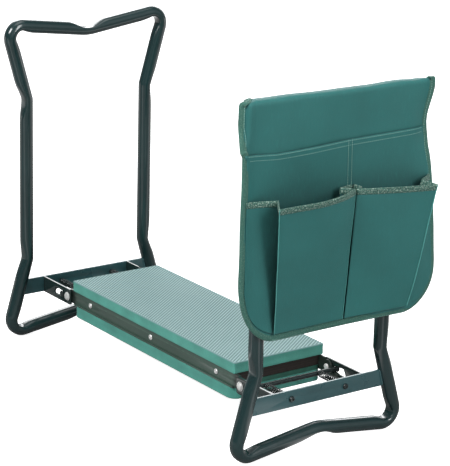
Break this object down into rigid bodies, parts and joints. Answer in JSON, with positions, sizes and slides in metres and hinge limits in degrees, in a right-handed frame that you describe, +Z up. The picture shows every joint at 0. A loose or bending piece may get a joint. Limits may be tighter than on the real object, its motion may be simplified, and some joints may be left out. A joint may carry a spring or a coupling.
{
  "type": "garden kneeler seat",
  "caption": "Folding garden kneeler and seat: a padded board between two hourglass tube loops on sprung, locking hinges, with a tool bag hung over one loop.",
  "frame": {"origin": "middle of the kneeling pad's upper face, 103.6 mm above the ground", "axes": "+X along the board to the end that carries the tool bag, -Y the front, +Z up"},
  "size_m": [0.6576, 0.308, 0.4859],
  "materials": {
    "tube_coat": "gloss",
    "bar_coat": "satin",
    "bright_zinc": "satin",
    "black_zinc": "satin",
    "plywood": "matte",
    "seat_plastic": "satin",
    "kneeling_foam": "matte",
    "seat_foam": "matte",
    "bag_fabric": "matte",
    "bag_webbing": "matte"
  },
  "bodies": {
    "board": {"front_side_rail": "tube_coat", "front_rail_screw_1": "bright_zinc", "front_rail_screw_2": "bright_zinc", "front_rail_screw_3": "bright_zinc", "rear_side_rail": "tube_coat", "rear_rail_screw_1": "bright_zinc", "rear_rail_screw_2": "bright_zinc", "rear_rail_screw_3": "bright_zinc", "core_board": "plywood", "seat_board": "seat_plastic", "kneeling_pad": "kneeling_foam", "seat_pad": "seat_foam", "left_front_pivot_rivet": "bright_zinc", "left_rear_pivot_rivet": "bright_zinc", "right_front_pivot_rivet": "bright_zinc", "right_rear_pivot_rivet": "bright_zinc"},
    "left_leg": {"left_leg_loop": "tube_coat", "left_crossbar": "bar_coat", "left_front_hinge_plate": "bar_coat", "left_front_lock_spring": "black_zinc", "left_front_spring_bolt": "black_zinc", "left_front_spring_nut": "black_zinc", "left_rear_hinge_plate": "bar_coat", "left_rear_lock_spring": "black_zinc", "left_rear_spring_bolt": "black_zinc", "left_rear_spring_nut": "black_zinc"},
    "right_leg": {"right_leg_loop": "tube_coat", "right_crossbar": "bar_coat", "right_front_hinge_plate": "bar_coat", "right_front_lock_spring": "black_zinc", "right_front_spring_bolt": "black_zinc", "right_front_spring_nut": "black_zinc", "right_rear_hinge_plate": "bar_coat", "right_rear_lock_spring": "black_zinc", "right_rear_spring_bolt": "black_zinc", "right_rear_spring_nut": "black_zinc", "bag_panel": "bag_fabric", "bag_flat_pocket": "bag_fabric", "bag_front_pocket": "bag_fabric", "bag_rear_pocket": "bag_fabric", "bag_front_strap": "bag_webbing", "bag_rear_strap": "bag_webbing"},
    "left_lock": {"left_lock_rod": "black_zinc"},
    "right_lock": {"right_lock_rod": "black_zinc"}
  },
  "joints": [
    {"name": "left_fold", "type": "hinge", "parent": "board", "child": "left_leg", "pos_m": [-0.22, 0, -0.0283], "axis": [0, 1, 0], "range_deg": [0, 94]},
    {"name": "right_fold", "type": "hinge", "parent": "board", "child": "right_leg", "pos_m": [0.22, 0, -0.0283], "axis": [0, -1, 0], "range_deg": [0, 86]},
    {"name": "left_lock_pull", "type": "slide", "parent": "left_leg", "child": "left_lock", "axis": [-1, 0, 0], "range_m": [0, 0.014], "stiffness_N_per_m": 150, "springref_m": -0.02, "deforming": ["left_front_lock_spring", "left_rear_lock_spring"]},
    {"name": "right_lock_pull", "type": "slide", "parent": "right_leg", "child": "right_lock", "axis": [1, 0, 0], "range_m": [0, 0.014], "stiffness_N_per_m": 150, "springref_m": -0.02, "deforming": ["right_front_lock_spring", "right_rear_lock_spring"]}
  ]
}
